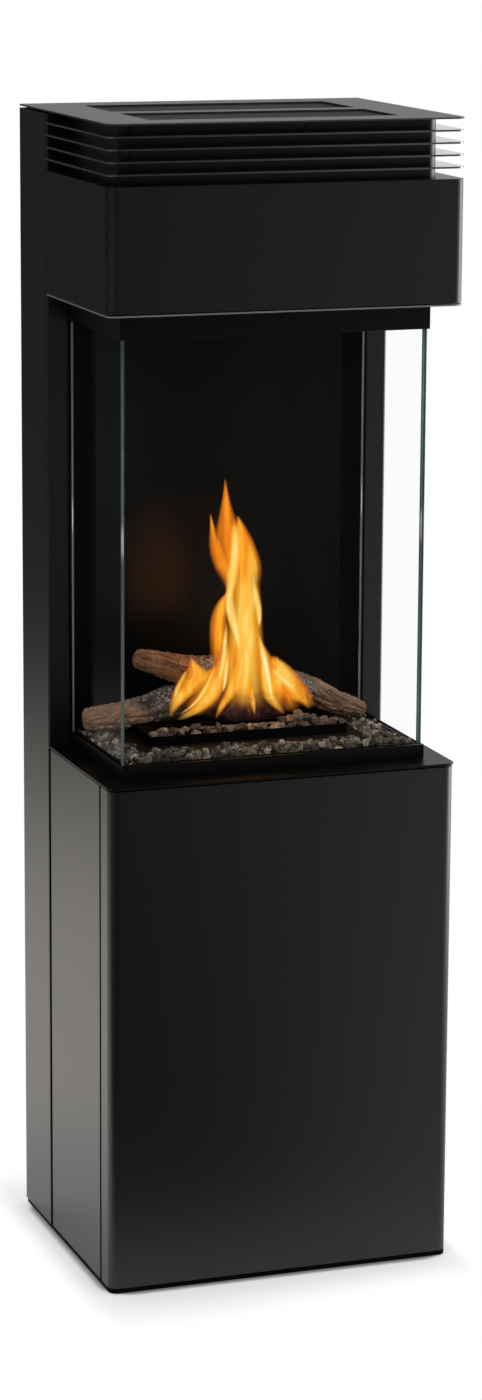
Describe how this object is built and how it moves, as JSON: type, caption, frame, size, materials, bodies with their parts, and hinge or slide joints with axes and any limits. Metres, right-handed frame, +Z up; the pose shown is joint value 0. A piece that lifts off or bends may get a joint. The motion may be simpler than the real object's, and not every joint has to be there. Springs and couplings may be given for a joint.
{
  "type": "bioethanol fireplace",
  "caption": "Tall free-standing bioethanol fireplace: a hinged-door cabinet, a glass firebox with ceramic logs and stones, a louvred hood and a full-height rear column.",
  "frame": {"origin": "middle of the footprint, on the floor", "axes": "+X to the object's right as seen from the front, -Y to the front with the door, +Z up"},
  "size_m": [0.4, 0.324, 1.275],
  "materials": {
    "black_powder_coat": "matt powder coat",
    "black_satin_steel": "satin",
    "grey_satin_steel": "satin",
    "black_lining": "matt",
    "brown_steel": "matt",
    "zinc_plate": "satin",
    "stainless_steel": "brushed",
    "clear_glass": "polished",
    "white_wool": "fibrous",
    "dark_rubber": "matt",
    "brown_log": "rough fired ceramic",
    "ash_log": "rough fired ceramic",
    "grey_brown_stone": "rough stone"
  },
  "bodies": {
    "root": {"plinth_base": "black_lining", "foot_front_left": "dark_rubber", "foot_front_right": "dark_rubber", "foot_rear_left": "dark_rubber", "foot_rear_right": "dark_rubber", "rear_cover": "black_powder_coat", "left_side_panel": "black_powder_coat", "right_side_panel": "black_powder_coat", "cabinet_back_panel": "black_lining", "cabinet_front_rail": "black_lining", "slab_gasket": "dark_rubber", "base_top_slab": "black_satin_steel", "hinge_bracket_lower": "zinc_plate", "hinge_bracket_upper": "zinc_plate", "hinge_pin_lower": "stainless_steel", "hinge_pin_upper": "stainless_steel", "push_latch_body": "dark_rubber", "lower_glass_frame": "black_satin_steel", "upper_glass_collar": "black_satin_steel", "left_glass_pane": "clear_glass", "right_glass_pane": "clear_glass", "firebox_back_panel": "black_lining", "firebox_back_liner": "black_lining", "heat_shield": "zinc_plate", "burner_deck": "brown_steel", "fuel_tank": "stainless_steel", "ceramic_wool": "white_wool", "burner_frame": "black_satin_steel", "gravel_front": "grey_brown_stone", "gravel_left": "grey_brown_stone", "gravel_right": "grey_brown_stone", "gravel_gutter": "grey_brown_stone", "log_left": "brown_log", "log_back": "ash_log", "log_right": "brown_log", "hood_bottom_plate": "black_powder_coat", "hood_inner_box": "black_satin_steel", "hood_fascia": "black_powder_coat", "louvre_plate_1": "black_satin_steel", "louvre_plate_2": "black_satin_steel", "louvre_plate_3": "black_satin_steel", "louvre_plate_4": "black_satin_steel", "heat_baffle": "zinc_plate", "top_plate": "grey_satin_steel", "top_mesh_front": "black_lining", "top_mesh_rear": "black_lining"},
    "door": {"cabinet_door": "black_powder_coat", "hinge_arm_lower": "zinc_plate", "hinge_arm_upper": "zinc_plate", "door_strike_plate": "zinc_plate"},
    "latch_plunger": {"push_latch_plunger": "zinc_plate"},
    "front_glass": {"front_glass_pane": "clear_glass"},
    "shutter": {"burner_shutter": "stainless_steel"}
  },
  "joints": [
    {"name": "door_hinge", "type": "hinge", "parent": "root", "child": "door", "pos_m": [0.187, -0.113, 0.288], "axis": [0, 0, 1], "range_deg": [0, 95]},
    {"name": "latch_slide", "type": "slide", "parent": "root", "child": "latch_plunger", "axis": [0, -1, 0], "range_m": [0, 0.01]},
    {"name": "front_glass_lift", "type": "slide", "parent": "root", "child": "front_glass", "axis": [0, 0, 1], "range_m": [0, 0.012]},
    {"name": "shutter_slide", "type": "slide", "parent": "root", "child": "shutter", "axis": [0, -1, 0], "range_m": [0, 0.038]}
  ],
  "couplings": [
    {"joint": "latch_slide", "follows": "door_hinge", "m_per_rad": 0.006}
  ]
}
